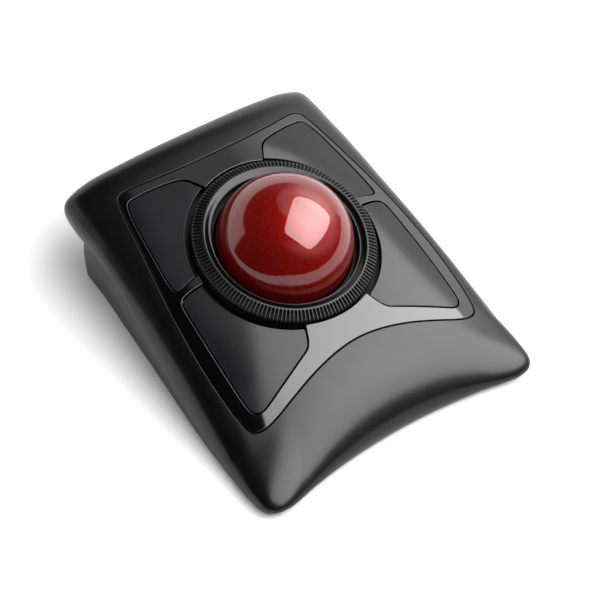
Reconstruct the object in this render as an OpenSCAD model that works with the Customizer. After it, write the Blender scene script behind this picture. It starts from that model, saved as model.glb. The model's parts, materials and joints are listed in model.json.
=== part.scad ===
/* [Crowned top] */
// Height of the crowned top at the scroll ring's centre
crown_z = 40; // [38:0.5:42]
// Fore-and-aft slope of the top at the ring, in degrees
tilt = 10.945; // [9:0.05:12]
// Radius of the crown seen from the side
long_r = 507; // [450:1:600]
// Radius of the crown seen from the front
side_r = 176; // [160:1:200]
// Distance of the ring's centre behind the middle of the base
ring_y = 7.25; // [6.5:0.25:8]

/* [Shell] */
// Wall thickness of the cover and of the lower case
wall = 2.2; // [2:0.1:2.6]
// Thickness of the glossy bezel plate
bezel_t = 2.2; // [2:0.1:2.4]
// Width of the ledge that carries the bezel
ledge = 1.6; // [1.2:0.1:2]
// Fullness of the shoulder between the top and the rim
shoulder = 0.72; // [0.5:0.02:0.85]
// Gap between neighbouring visible panels
panel_gap = 0.3; // [0.25:0.05:0.4]

/* [Ball and ring] */
// Radius of the ball
ball_r = 27.5; // [27:0.1:28]
// Depth of the ball's centre and the ring plane below the crown
ball_drop = 2.68; // [2.4:0.01:3]
// Radius of the opening in the bezel
opening_r = 38.2; // [38:0.1:38.6]
// Outer radius of the scroll ring
ring_r = 37.4; // [37.2:0.1:37.6]
// Number of light slots in the ring's skirt
slot_count = 60; // [48:6:72]

/* [Buttons] */
// Radius of the edge that the buttons turn to the ring
button_r = 39.5; // [39.2:0.1:39.8]
// Thickness of the button caps
cap_t = 2; // [1.8:0.1:2.2]
// Radius of the moulded trunnions the buttons turn on
trunnion_r = 1; // [0.9:0.05:1.1]

/* [Base] */
// Height of the underside above the table
base_z = 1; // [0.8:0.1:1.2]
// Thickness of the floor
floor_t = 2; // [1.8:0.1:2.2]
// Radius of an AA cell
cell_r = 7.2; // [7.1:0.05:7.25]
// Length of an AA cell
cell_l = 50.2; // [50:0.1:50.5]

/* [Hidden] */
$fn = 48;

black = "#1d1d20";
gloss = "#0c0c0e";
board_green = "#1f5a3a";
steel = "#b9bcc2";

// Axis of the crown, a wide torus lying across the object
crown_y = ring_y + long_r * sin(tilt);
crown_c = crown_z - long_r * cos(tilt);
crown_core = long_r - side_r;

function reach(x) = crown_core + sqrt(side_r * side_r - x * x);
function crown(x, y) = crown_c + sqrt(pow(reach(x), 2) - pow(y - crown_y, 2));
function crown_dy(x, y) = -(y - crown_y) / (crown(x, y) - crown_c);
function crown_dx(x, y) = -x / sqrt(side_r * side_r - x * x) * reach(x) / (crown(x, y) - crown_c);
function unit(v) = v / norm(v);
function mix(a, b, t) = a + (b - a) * t;

// Half outlines from the middle of the back, round the right side, to the middle of the front
seam_half = [
  [0, 54.9], [14, 55.4], [28, 57.1], [40, 59.4], [44.6, 58.6], [46.4, 54.6], [48.2, 46],
  [50.6, 32], [53.2, 17], [55.2, 3], [56.8, -14], [57.3, -28], [56.8, -42], [55.2, -48.8],
  [51, -51], [44.5, -50.4], [35, -47.8], [23, -44.5], [11, -42.1], [0, -41.2]
];
rim_half = [
  [0, 75.5], [18, 76], [35, 77], [49, 77.8], [58.4, 75.8], [60.4, 68], [60.6, 52],
  [61.6, 32], [62.8, 15], [63.9, 0], [65, -17], [66, -34], [66.7, -52], [66.8, -66],
  [64.8, -75.2], [57, -77.8], [42, -75.1], [28, -73.1], [14, -71.9], [0, -71.5]
];
base_half = [
  [0, 64.6], [17, 64.9], [33, 66], [46.5, 67], [55.6, 65.4], [57.2, 60], [57.7, 48],
  [59.2, 32], [60.8, 15], [62.2, 0], [64, -17], [65.5, -34], [66.2, -52], [66.2, -66],
  [64, -74], [56.4, -76.2], [42, -73.8], [28, -72], [14, -70.9], [0, -70.5]
];
// Heights along the depth of the case: widest line of the rim, and the line where cover meets case
rim_z = [
  [-80, 4.2], [-54, 4.4], [-43, 5.4], [-30, 7.6], [-14, 10.8], [15, 18.6], [32, 24.4], [46, 27.4], [80, 28.6]
];
join_z = [[-80, 1.9], [-66, 1.9], [-52, 2.3], [-34, 4.4], [-17, 7], [0, 10.4], [15, 15], [32, 20], [80, 20]];
join_gap = 0.25;
rear_lift = 8;
least_shoulder = 4.6;
ledge_drop = bezel_t * 1.1 + 0.2;

// Catmull-Rom curve through a half outline, mirrored at both ends
function at(pts, i) = i < 0 ? [-pts[-i].x, pts[-i].y]
  : i >= len(pts) ? [-pts[2 * len(pts) - 2 - i].x, pts[2 * len(pts) - 2 - i].y] : pts[i];
function spline(pts, i, t) = 0.5 * (
  2 * at(pts, i) + (at(pts, i + 1) - at(pts, i - 1)) * t
  + (2 * at(pts, i - 1) - 5 * at(pts, i) + 4 * at(pts, i + 1) - at(pts, i + 2)) * t * t
  + (3 * at(pts, i) - at(pts, i - 1) - 3 * at(pts, i + 1) + at(pts, i + 2)) * t * t * t);
function half_curve(pts, steps) = [
  for (i = [0:len(pts) - 2]) for (k = [0:steps - 1]) spline(pts, i, k / steps), pts[len(pts) - 1]];
function whole(half) = concat(half, [for (i = [len(half) - 2:-1:1]) [-half[i].x, half[i].y]]);
function loop(pts, steps) = whole(half_curve(pts, steps));

// A closed outline moved inwards by d, along its own normals
function inset(pts, d) = [for (i = [0:len(pts) - 1])
  let (n = len(pts), e = unit(pts[(i + 1) % n] - pts[(i + n - 1) % n])) pts[i] + d * [e.y, -e.x]];

// Cubic through four control points
function bezier(p, t) = p[0] * pow(1 - t, 3) + 3 * p[1] * t * pow(1 - t, 2)
  + 3 * p[2] * t * t * (1 - t) + p[3] * pow(t, 3);

module prism(pts, low, high) { translate([0, 0, low]) linear_extrude(high - low) polygon(pts); }

// Everything under the crown, starting a given depth below it
module under_crown(depth) {
  translate([0, crown_y, crown_c]) rotate([0, 90, 0]) rotate_extrude($fn = 180)
    intersection() {
      translate([crown_core, 0]) circle(r = side_r - depth, $fn = 180);
      translate([crown_core + 60, -90]) square([long_r, 180]);
    }
}
module crown_plate(pts, top, bottom) {
  intersection() {
    prism(pts, 5, 60);
    difference() { under_crown(top); under_crown(bottom); }
  }
}

// Frame of the ring: origin on the crown at the ring's centre, +Z along the ring's axis
module ring_frame() { translate([0, ring_y, crown_z]) rotate([tilt, 0, 0]) children(); }
module post(p, low, high, r) { translate([p.x, p.y, low]) cylinder(r = r, h = high - low); }
module box(low, high) { translate(low) cube(high - low); }
// A screw at p: its head lies against the level given, and its shank runs from there
module screw(p, level, head_h, head_r, shank_r, shank_h) {
  post(p, min(level, level + head_h), max(level, level + head_h), head_r);
  post(p, min(level, level + shank_h), max(level, level + shank_h), shank_r);
}
module mirrored() { for (side = [0, 1]) mirror([side, 0, 0]) children(); }
// A profile of depth and height, extruded right across the object
module side_profile(points) {
  rotate([90, 0, 90]) translate([0, 0, -80]) linear_extrude(160) polygon(points);
}

// ---- cover ----
cover_steps = 3;
top_n = 8;
lip_n = 4;
inner_n = 5;
// One closed section of the cover, from its seam s over the rim r to the foot b and back inside
function raised(p, z) = [p.x, p.y, z];
function cover_section(s, r, b) = let (
    inward = unit(s - r), run = r - s, z0 = crown(s.x, s.y),
    grade = crown_dx(s.x, s.y) * run.x + crown_dy(s.x, s.y) * run.y,
    lift = rear_lift * max(0, 1 - pow(r.x / 56, 2)) * max(0, min(1, (r.y - 66) / 8)),
    zr = lookup(r.y, rim_z) + lift,
    zj = lookup(b.y, join_z) + join_gap,
    drop = zr - zj,
    full = max(least_shoulder, shoulder * (z0 + grade - zr)),
    top = [raised(s, z0), raised(mix(s, r, 0.5), z0 + grade * 0.5), raised(r, zr + full), raised(r, zr)],
    lip = [raised(r, zr), raised(r, zr - 0.6 * drop), raised(mix(r, b, 0.5), zj + 0.1 * drop), raised(b, zj)],
    shelf = s + inward * ledge,
    inside = [raised(b + inward * wall, zj), raised(mix(b, r, 0.55) + inward * wall, zj + 0.3 * drop + 1),
      raised(r + inward * wall * 1.3, zr + full * 0.6), raised(s - inward * 1.4, z0 - ledge_drop - ledge)])
  concat(
    [for (k = [0:top_n]) bezier(top, k / top_n)],
    [for (k = [1:lip_n]) bezier(lip, k / lip_n)],
    [for (k = [0:inner_n]) bezier(inside, k / inner_n)],
    [raised(shelf, crown(shelf.x, shelf.y) - ledge_drop - ledge),
      raised(shelf, crown(shelf.x, shelf.y) - ledge_drop), raised(s, z0 - ledge_drop)]);
module cover_skin() {
  seam = loop(seam_half, cover_steps);
  rim = loop(rim_half, cover_steps);
  base = loop(base_half, cover_steps);
  n = len(seam);
  sections = [for (i = [0:n - 1]) cover_section(seam[i], rim[i], base[i])];
  m = len(sections[0]);
  polyhedron(
    points = [for (s = sections) each s],
    faces = [for (i = [0:n - 1]) for (k = [0:m - 1])
      let (here = i * m, next = (i + 1) % n * m, up = (k + 1) % m)
      each [[here + k, here + up, next + up], [here + k, next + up, next + k]]]);
}

// Screw bosses of the cover; the case screws come up through posts below them
rear_boss = [51, 49];
front_boss = [51, -60];
middle_boss = [0, -61];
rear_boss_low = 22;
front_boss_low = 7;
module cover_bosses(r, extra) {
  for (side = [-1, 1]) {
    post([side * rear_boss.x, rear_boss.y], rear_boss_low - extra, 34, r);
    post([side * front_boss.x, front_boss.y], front_boss_low - extra, 11, r);
  }
  post(middle_boss, front_boss_low - extra, 13, r);
}
module top_shell() {
  color(black) difference() {
    union() {
      cover_skin();
      cover_bosses(3.2, 0);
    }
    cover_bosses(1.5, 1);
  }
}

// ---- buttons and bezel ----
// Right-hand outlines; both run inside the ring's opening, which trims them
upper_outline = [
  [12, 38], [16.6, 45.6], [18.4, 48.6], [20.8, 50.6], [26, 52], [33, 53.3], [38, 53.9], [42.2, 54.2],
  [43.6, 52.6], [45.4, 45], [47.1, 32], [48.4, 21.5], [49, 14.4], [48.7, 11.8], [46.8, 11.5],
  [43.8, 12.2], [38, 12.8], [30, 12.8]
];
lower_outline = [
  [28, 5], [38, 7.8], [44.5, 8], [48.2, 7.4], [49.6, 5.4], [50.2, -5], [50.8, -16], [51.1, -27],
  [51.2, -38], [50.9, -42.6], [49.2, -44.7], [46.4, -44.9], [42, -43.4], [32, -39.7], [23.4, -36.4],
  [19.9, -35], [18, -32.8], [15.4, -27], [12, -18]
];
module opening(r) { ring_frame() cylinder(r = r, h = 40, center = true, $fn = 120); }

// Hinge frames: origin on the trunnion axis, +X outboard, +Y along the axis, +Z out of the crown.
// A button's two lugs start ear_y from the origin, and the bezel's brackets stand ear_gap outside them.
upper_pivot = [32, 50.6];
lower_pivot = [48.3, -16];
upper_run = [-1, -0.165];
lower_run = [0, 1];
pivot_depth = 4.5;
function slope_along(p, d) = crown_dx(p.x, p.y) * d.x + crown_dy(p.x, p.y) * d.y;
function hinge_axis(p, d) = unit([d.x, d.y, slope_along(p, d)]);
function normal(p) = unit([-crown_dx(p.x, p.y), -crown_dy(p.x, p.y), 1]);
module hinge_frame(p, d) {
  a = hinge_axis(p, d);
  o = unit(cross(a, normal(p)));
  u = cross(o, a);
  c = [p.x, p.y, crown(p.x, p.y)] - pivot_depth * u;
  multmatrix([[o.x, a.x, u.x, c.x], [o.y, a.y, u.y, c.y], [o.z, a.z, u.z, c.z]]) children();
}
ear_y = 5;
ear_w = 3;
ear_gap = 0.4;
ear_pitch = ear_y + ear_w + ear_gap;
module along_axis(r, from, to) { translate([0, to, 0]) rotate([90, 0, 0]) cylinder(r = r, h = to - from); }
module lugs() {
  for (side = [0, 1]) mirror([0, side, 0]) {
    box([-1.9, ear_y, -1.9], [1.9, ear_y + ear_w, 3]);
    along_axis(trunnion_r, ear_y + ear_w - 0.5, ear_pitch + ear_w - 0.3);
  }
}
module brackets(wall_x) {
  for (side = [0, 1]) mirror([0, side, 0]) difference() {
    union() {
      box([-2.1, ear_pitch, -2.1], [wall_x + 1.7, ear_pitch + ear_w, 1.2]);
      box([wall_x, ear_pitch, -2.1], [wall_x + 1.7, ear_pitch + ear_w, 2.5]);
    }
    along_axis(trunnion_r + 0.05, ear_pitch - 1, ear_pitch + ear_w + 1);
  }
}
// Where each switch sits in the ring frame, its long side across the line to the ring's centre
upper_switch = [36.5, 26];
lower_switch = [30.5, -37];
switch_size = [12.8, 5.8, 6.5];
plunger_top = -8.6;
plunger_rise = 0.9;
switch_top = plunger_top - plunger_rise;
board_t = 1.2;
board_top = switch_top - switch_size.z;
module at_switch(p) {
  ring_frame() translate([p.x, p.y, 0]) rotate([0, 0, atan2(p.y, p.x) + 90]) children();
}
module button(outline, pivot, run, sw) {
  color("#2c2c30") difference() {
    union() {
      crown_plate(outline, 0, cap_t);
      hinge_frame(pivot, run) lugs();
      at_switch(sw) translate([0, 0, plunger_top + 0.05]) cylinder(r = 1.6, h = 3.6);
    }
    opening(button_r);
  }
}
module button_upper_right() { button(upper_outline, upper_pivot, upper_run, upper_switch); }
module button_lower_right() { button(lower_outline, lower_pivot, lower_run, lower_switch); }
module button_upper_left() { mirror([1, 0, 0]) button_upper_right(); }
module button_lower_left() { mirror([1, 0, 0]) button_lower_right(); }

// Bosses under the bezel, given in the ring frame: retainer, ring sensor board and switch boards
retainer_ear = [[12.5, 41.9], [12.5, -41.9]];
sensor_boss = [4.6, 43.4];
board_boss = [[46.4, 1.3], [53.6, -36]];
module gloss_bezel() {
  color(gloss) difference() {
    union() {
      crown_plate(inset(loop(seam_half, cover_steps), panel_gap / 2), 0, bezel_t);
      mirrored() intersection() {
        under_crown(1);
        ring_frame() {
          for (p = retainer_ear) post(p, retainer_top, -1.6, 2.4);
          post(sensor_boss, sensor_board_top, -1.6, 1.8);
          for (p = board_boss) post(p, board_top, -1.6, 1.4);
        }
      }
    }
    opening(opening_r);
    ring_frame() mirrored() {
      for (p = retainer_ear) post(p, retainer_top - 1, retainer_top + 2.6, 1.15);
      post(sensor_boss, sensor_board_top - 1, sensor_board_top + 4, 0.9);
      for (p = board_boss) post(p, board_top - 1, board_top + 4, 0.8);
    }
    mirrored() {
      prism(inset(upper_outline, -panel_gap), 5, 60);
      prism(inset(lower_outline, -panel_gap), 5, 60);
    }
  }
  color(gloss) mirrored() {
    hinge_frame(upper_pivot, upper_run) brackets(3.1);
    hinge_frame(lower_pivot, lower_run) brackets(3.7);
  }
}

// ---- ball, ring and cup, all in the ring frame ----
module ball_frame() { ring_frame() translate([0, 0, -ball_drop]) children(); }
module ball() { color("#8f1318") ball_frame() sphere(r = ball_r, $fn = 96); }

retainer_top = -7.4;
retainer_t = 1.2;
lip_top = retainer_top - retainer_t - 0.2;
skirt_low = -13.5;
ring_profile = [
  [29.6, -2.2], [29.6, -0.3], [29.9, 0], [32.1, 0.95], [32.7, 1.15], [33.3, 0.95], [36.7, -0.6],
  [37.2, -1], [ring_r, -1.5], [ring_r, -4.8], [36.9, -5.4], [36.9, lip_top], [38.1, lip_top],
  [38.1, lip_top - 1], [36.9, lip_top - 1], [36.9, skirt_low], [35.6, skirt_low], [35.6, -2.9],
  [34.9, -2.2]
];
module scroll_ring() {
  color("#222225") ring_frame() difference() {
    rotate_extrude($fn = 120) polygon(ring_profile);
    for (i = [0:slot_count - 1]) rotate([0, 0, i * 360 / slot_count])
      box([34, -0.8, skirt_low - 1], [39, 0.8, lip_top - 1.6]);
  }
}
cup_r = ball_r + 0.8;
cup_t = 1.8;
cup_rim_r = 34.4;
bearing_r = 1.25;
bearing_angle = 42;
window_angle = 30;
cup_ear = [[34, 9.5], [30, -17]];
ear_level = 18;
module toward(azimuth, down) { ball_frame() rotate([0, 0, azimuth]) rotate([0, 90 + down, 0]) children(); }
module ball_cup() {
  color("#151517") difference() {
    union() {
      ring_frame() rotate_extrude($fn = 120) union() {
        difference() {
          translate([0, -ball_drop]) circle(r = cup_r + cup_t, $fn = 120);
          translate([-60, -60]) square([60, 120]);
          translate([0, -4.4]) square([60, 60]);
        }
        translate([cup_r + 0.4, -6]) square([cup_rim_r - cup_r - 0.4, 1.4]);
        translate([cup_rim_r - 1.2, -4.7]) square([1.2, 2.35]);
      }
      mirrored() for (p = cup_ear) hull() {
        translate([p.x, p.y + ring_y, ear_level]) cylinder(r = 3.2, h = 2, $fn = 32);
        translate([p.x * 0.62, p.y * 0.62 + ring_y, ear_level]) cylinder(r = 3.2, h = 2, $fn = 32);
      }
      for (a = [90, 210, 330]) toward(a, bearing_angle) cylinder(r = 2.6, h = cup_r + cup_t + 1);
      toward(-90, window_angle) {
        cylinder(r = 5.4, h = cup_r + 3.1);
        for (side = [-1, 1]) translate([0, side * 7.6, 0]) cylinder(r = 1.6, h = cup_r + 6.15);
      }
    }
    ball_frame() sphere(r = cup_r, $fn = 120);
    for (a = [90, 210, 330]) toward(a, bearing_angle)
      translate([0, 0, 20]) cylinder(r = bearing_r + 0.04, h = ball_r + 2 * bearing_r + 0.2 - 20);
    toward(-90, window_angle) translate([0, 0, 20]) cylinder(r = 4, h = 20);
    mirrored() for (p = cup_ear) post([p.x, p.y + ring_y], ear_level - 1, ear_level + 3, 1.4);
  }
}
module support_bearings() {
  color("#e8e4da") for (a = [90, 210, 330]) toward(a, bearing_angle)
    translate([0, 0, ball_r + bearing_r + 0.05]) sphere(r = bearing_r);
}
module ring_retainer() {
  color("#303035") ring_frame() mirrored() translate([0, 0, retainer_top - retainer_t])
    linear_extrude(retainer_t - 0.05) difference() {
      union() {
        circle(r = 40.2, $fn = 120);
        for (p = retainer_ear) {
          translate(p) circle(r = 2.6);
          rotate([0, 0, atan2(p.y, p.x)]) translate([38, -2]) square([5, 4]);
        }
      }
      circle(r = 37.2, $fn = 120);
      translate([-60, -60]) square([60.3, 120]);
      for (p = retainer_ear) translate(p) circle(r = 1.2);
    }
}
module retainer_screws() {
  color(steel) ring_frame() mirrored() for (p = retainer_ear)
    screw(p, retainer_top - retainer_t - 0.05, -1, 2, 1.05, retainer_t);
}

// ---- lower case ----
floor_top = base_z + floor_t;
head_seat = 2.7;
cell_z = 3.2 + cell_r;
cell_roof = cell_z + cell_r + 0.3;
// Where the sloping rear wall meets the underside, and where it meets the cover
rear_foot = 60.4;
rear_head = 67.5;
door_x = 26.8;
door_y = [15.3, 60.2];
door_t = 1.5;
tongue = [1, 0.6];
cup_post = [for (p = cup_ear) [p.x, p.y + ring_y]];
main_post = [[30, -33], [30, -53]];
main_board_z = 7;
slot_x = [13.5, 20.5];
slot_y = [-43, -40.4];
pairing_at = [0, -41.7];
module case_side() {
  side_profile(concat(
    [[-90, base_z], [rear_foot, base_z], [rear_head, 20]],
    [for (j = [len(join_z) - 1:-1:0]) if (join_z[j].x < rear_head - 1) join_z[j]]));
}
module case_inside() {
  side_profile([[-90, 0], [rear_foot - wall, 0], [rear_head - wall + 0.4, 21], [rear_head, 40], [-90, 40]]);
}
module lower_case() {
  outline = loop(base_half, 3);
  color("#19191b") difference() {
    union() {
      difference() {
        intersection() {
          prism(outline, base_z, 24);
          case_side();
        }
        intersection() {
          prism(inset(outline, wall), floor_top, 30);
          case_inside();
        }
      }
      // The front walls are lower than the floor is thick, so the floor runs on inside the cover
      intersection() {
        prism(inset(outline, wall + 0.35), base_z, floor_top);
        side_profile([[-90, 0], [rear_foot - 0.5, 0], [rear_foot + 0.5, 5], [-90, 5]]);
      }
      mirrored() {
        post(rear_boss, base_z, rear_boss_low - 0.1, 3.4);
        post(front_boss, base_z, front_boss_low - 0.1, 3.4);
        for (p = cup_post) post(p, base_z, ear_level - 0.05, 3);
        for (p = main_post) post(p, base_z, main_board_z - 0.05, 2.4);
        box([door_x + 0.4, 29.2, floor_top - 0.5], [door_x + 1.8, 59, cell_roof + 1.2]);
      }
      box([-door_x - 1.8, 33, cell_roof], [door_x + 1.8, 63, cell_roof + 1.2]);
      post(middle_boss, base_z, front_boss_low - 0.1, 3.4);
      box([-door_x - 0.6, 27.9, floor_top], [door_x + 0.6, 28.9, 9]);
      box([-16, 13.6, floor_top - 0.5], [16, 14.9, 6.5]);
    }
    mirrored() {
      for (p = [rear_boss, front_boss]) post(p, -1, 23, 1.6);
      for (p = [rear_boss, front_boss]) post(p, -1, head_seat, 2.9);
      for (p = cup_post) post(p, ear_level - 9, 19, 1.05);
      for (p = main_post) post(p, main_board_z - 3, 8, 1.05);
      slot_box(0, 0, 0, 4);
    }
    post(middle_boss, -1, 8, 1.6);
    post(middle_boss, -1, head_seat, 2.9);
    post(pairing_at, 0, 4, 2.5);
    box([-door_x - 0.2, door_y[0] - 0.3, 0], [door_x + 0.2, 80, floor_top]);
    box([-door_x - 1.3, door_y[0] + 0.7, 1.7], [door_x + 1.3, 80, 2.6]);
  }
}
module battery_door() {
  color("#1b1b1e") difference() {
    union() {
      box([-door_x, door_y[0], base_z], [door_x, door_y[1], base_z + door_t]);
      mirrored()
        box([door_x - 0.5, door_y[0] + 1.5, 1.85], [door_x + tongue.x, door_y[1] - 3, 1.85 + tongue.y]);
    }
    for (i = [0:4]) box([-8, 20 + 2 * i, 0], [8, 21 + 2 * i, base_z + 0.5]);
  }
}

// ---- power ----
cell_y = [36.6, 51.6];
module cell(y, dir) {
  color("#5c6a78") translate([0, y, cell_z]) rotate([0, 90 * dir, 0]) union() {
    translate([0, 0, -cell_l / 2]) cylinder(r = cell_r, h = cell_l - 1.2);
    translate([0, 0, cell_l / 2 - 1.2]) cylinder(r = 2.7, h = 1.2);
  }
}
module battery_cell_front() { cell(cell_y[0], 1); }
module battery_cell_rear() { cell(cell_y[1], -1); }
contact_x = door_x - 0.1;
module contact_bump(y) {
  tip = cell_l / 2 + 0.1;
  translate([tip, y, cell_z]) rotate([0, 90, 0]) cylinder(r1 = 2, r2 = 3.6, h = contact_x - tip);
}
module battery_contacts() {
  color(steel) {
    box([contact_x, 31, 5], [contact_x + 0.4, 57, 15.6]);
    for (y = cell_y) contact_bump(y);
    mirror([1, 0, 0]) for (y = cell_y) {
      box([contact_x, y - 5, 5], [contact_x + 0.4, y + 5, 15.6]);
      contact_bump(y);
    }
  }
}
module usb_receiver() {
  color("#26262a") union() {
    box([-11.6, 15.8, 3.05], [0.2, 27.4, 7.4]);
    box([0, 15.4, 3.05], [6.6, 27.7, 7.5]);
  }
}

// ---- electronics ----
board_outline = [
  [27, 32], [31, 37], [37, 36], [44, 27], [48.5, 12], [49.5, -5], [56, -30], [56, -40], [40, -41],
  [30, -46], [21, -42], [22, -37], [30, -30.5], [38.5, -20], [42.5, -6], [42.8, 6], [38, 18]
];
module switch_board_right() {
  color(board_green) ring_frame() translate([0, 0, board_top - board_t])
    linear_extrude(board_t - 0.03) difference() {
      polygon(board_outline);
      for (p = board_boss) translate(p) circle(r = 0.95);
    }
}
module switch_board_left() { mirror([1, 0, 0]) switch_board_right(); }
module switch_body(p) {
  half = switch_size / 2;
  color("#2d3036") at_switch(p) difference() {
    box([-half.x, -half.y, board_top], [half.x, half.y, switch_top]);
    translate([0, 0, switch_top - 2.2]) cylinder(r = 1.02, h = 3);
  }
}
module plunger(p) {
  color("#d9d6cc") at_switch(p) post([0, 0], switch_top - 1.5, plunger_top, 0.95);
}
module switch_upper_right() { switch_body(upper_switch); }
module switch_lower_right() { switch_body(lower_switch); }
module switch_upper_left() { mirror([1, 0, 0]) switch_upper_right(); }
module switch_lower_left() { mirror([1, 0, 0]) switch_lower_right(); }
module plunger_upper_right() { plunger(upper_switch); }
module plunger_lower_right() { plunger(lower_switch); }
module plunger_upper_left() { mirror([1, 0, 0]) plunger_upper_right(); }
module plunger_lower_left() { mirror([1, 0, 0]) plunger_lower_right(); }
sensor_board_top = -17;
module ring_sensor() {
  color("#17171a") ring_frame() union() {
    box([-4, 32.6, sensor_board_top + 0.02], [4, 39.6, -14]);
    box([-4, 32.6, -14.5], [4, 35, -10.3]);
    box([-4, 37.4, -14.5], [4, 39.6, -10.3]);
  }
}
module ring_sensor_board() {
  color(board_green) ring_frame() difference() {
    box([-9, 31, sensor_board_top - board_t], [9, 46, sensor_board_top - 0.02]);
    for (side = [-1, 1]) translate([side * sensor_boss.x, sensor_boss.y, -20]) cylinder(r = 1, h = 5);
  }
}
module sensor_lens() {
  color("#c9d4dc") toward(-90, window_angle) union() {
    translate([0, 0, cup_r + 0.3]) cylinder(r = 3.8, h = 3);
    translate([-5.5, -5.5, cup_r + 3.2]) cube([11, 11, 1]);
  }
}
module tracking_sensor() {
  color("#101012") toward(-90, window_angle) translate([-4.5, -4.5, cup_r + 4.3]) cube([9, 9, 1.8]);
}
module tracking_board() {
  color(board_green) toward(-90, window_angle) difference() {
    translate([-7, -9.5, cup_r + 6.2]) cube([14, 19, 1.2]);
    for (side = [-1, 1]) translate([0, side * 7.6, cup_r + 5]) cylinder(r = 0.9, h = 4);
  }
}
module main_board() {
  color(board_green) difference() {
    box([-36, -56.8, main_board_z], [36, -28, main_board_z + 1.4]);
    for (side = [-1, 1]) for (p = main_post) post([side * p.x, p.y], 5, 10, 1.1);
  }
}
module radio_module() { color("#c8ccd2") box([-8, -54, main_board_z + 1.42], [8, -40, main_board_z + 3.4]); }
module slot_box(x_room, y_room, low, high) {
  box([slot_x[0] - x_room, slot_y[0] - y_room, low], [slot_x[1] + x_room, slot_y[1] + y_room, high]);
}
module slide_body() {
  color("#2b2d31") difference() {
    slot_box(1.5, 1, floor_top + 0.3, main_board_z - 0.02);
    slot_box(0.3, 0.1, 2, floor_top + 2);
  }
}
module slide_knob() {
  color("#d0d0d4")
    box([slot_x[0] + 0.3, slot_y[0] + 0.2, 0.5], [slot_x[0] + 3.5, slot_y[1] - 0.2, floor_top + 1.8]);
}
module power_switch() { mirror([1, 0, 0]) slide_body(); }
module power_knob() { mirror([1, 0, 0]) slide_knob(); }
module mode_switch() { slide_body(); }
module mode_knob() { slide_knob(); }
module pairing_switch() {
  color("#2b2d31") translate(pairing_at) box([-3, -3, 4.25], [3, 3, main_board_z - 0.02]);
}
module pairing_button() {
  color("#3a3a3e") union() {
    post(pairing_at, 0.6, 3.3, 2.2);
    post(pairing_at, 3.2, 3.9, 1.2);
  }
}

// ---- feet and fasteners ----
foot_at = [[38, 53, 5], [55, -67, 5], [22, -65, 4]];
module rubber_feet() {
  color("#3b3b3d") mirrored() for (f = foot_at) post([f.x, f.y], 0, base_z - 0.01, f.z);
}
module case_screws() {
  color(steel) {
    mirrored() {
      screw(rear_boss, head_seat - 0.02, -1.3, 2.6, 1.4, 25);
      screw(front_boss, head_seat - 0.02, -1.3, 2.6, 1.4, 7.3);
    }
    screw(middle_boss, head_seat - 0.02, -1.3, 2.6, 1.4, 8.3);
  }
}
module cup_screws() {
  color(steel) mirrored() for (p = cup_post) screw(p, ear_level + 2.05, 1.15, 2.2, 1, -8);
}
module board_screws() {
  color(steel) mirrored() {
    for (p = main_post) screw(p, main_board_z + 1.45, 1.05, 2, 0.95, -4);
    ring_frame() {
      for (p = board_boss) screw(p, board_top - board_t - 0.05, -0.95, 1.5, 0.75, 4);
      screw(sensor_boss, sensor_board_top - board_t - 0.05, -0.95, 1.8, 0.85, 4);
    }
  }
}
module blank_label() { color("#8d9096") box([-26, -22, base_z - 0.1], [26, 6, base_z - 0.005]); }

top_shell();
gloss_bezel();
lower_case();
ball_cup();
support_bearings();
ring_retainer();
retainer_screws();
scroll_ring();
ball();
button_upper_left();
button_upper_right();
button_lower_left();
button_lower_right();
plunger_upper_left();
plunger_upper_right();
plunger_lower_left();
plunger_lower_right();
switch_upper_left();
switch_upper_right();
switch_lower_left();
switch_lower_right();
switch_board_left();
switch_board_right();
ring_sensor();
ring_sensor_board();
sensor_lens();
tracking_sensor();
tracking_board();
main_board();
radio_module();
battery_cell_front();
battery_cell_rear();
battery_contacts();
battery_door();
usb_receiver();
power_switch();
power_knob();
mode_switch();
mode_knob();
pairing_switch();
pairing_button();
rubber_feet();
case_screws();
cup_screws();
board_screws();
blank_label();
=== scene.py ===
import json
import math

import bmesh
import bpy
import numpy as np
from mathutils import Matrix, Vector, geometry


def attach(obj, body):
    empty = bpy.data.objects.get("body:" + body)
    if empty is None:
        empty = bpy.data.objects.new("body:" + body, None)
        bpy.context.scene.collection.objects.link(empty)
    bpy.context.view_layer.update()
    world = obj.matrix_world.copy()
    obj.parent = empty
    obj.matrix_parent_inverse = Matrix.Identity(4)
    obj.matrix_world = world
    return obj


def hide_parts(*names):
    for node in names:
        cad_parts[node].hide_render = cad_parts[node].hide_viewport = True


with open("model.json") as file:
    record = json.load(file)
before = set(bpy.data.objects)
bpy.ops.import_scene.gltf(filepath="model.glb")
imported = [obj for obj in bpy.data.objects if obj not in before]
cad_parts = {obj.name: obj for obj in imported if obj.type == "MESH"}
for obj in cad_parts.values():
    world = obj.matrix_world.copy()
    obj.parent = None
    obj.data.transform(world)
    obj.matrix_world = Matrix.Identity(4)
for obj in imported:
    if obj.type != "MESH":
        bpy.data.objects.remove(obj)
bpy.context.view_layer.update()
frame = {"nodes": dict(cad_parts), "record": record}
NODES = frame["nodes"]
SIDES = ("left", "right")
ROWS = ("upper", "lower")
MM = 0.001

# ---------------------------------------------------------------- the crowned top, in millimetres
# Its radii along and across the case, where the ring's axis meets it, and the tilt of that axis
LONG_R, SIDE_R = 507.0, 176.0
CROWN_Z, RING_Y = 40.0, 7.25
TILT = math.radians(10.945)
CROWN_Y = RING_Y + LONG_R * math.sin(TILT)
CROWN_C = CROWN_Z - LONG_R * math.cos(TILT)
RING_FRAME = Matrix.Translation((0, RING_Y, CROWN_Z)) @ Matrix.Rotation(TILT, 4, "X")
# Radii round that axis: the bezel's opening, the caps' inner edges and the ring
OPENING_R, BUTTON_R, RING_R = 38.2, 39.5, 37.4
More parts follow.
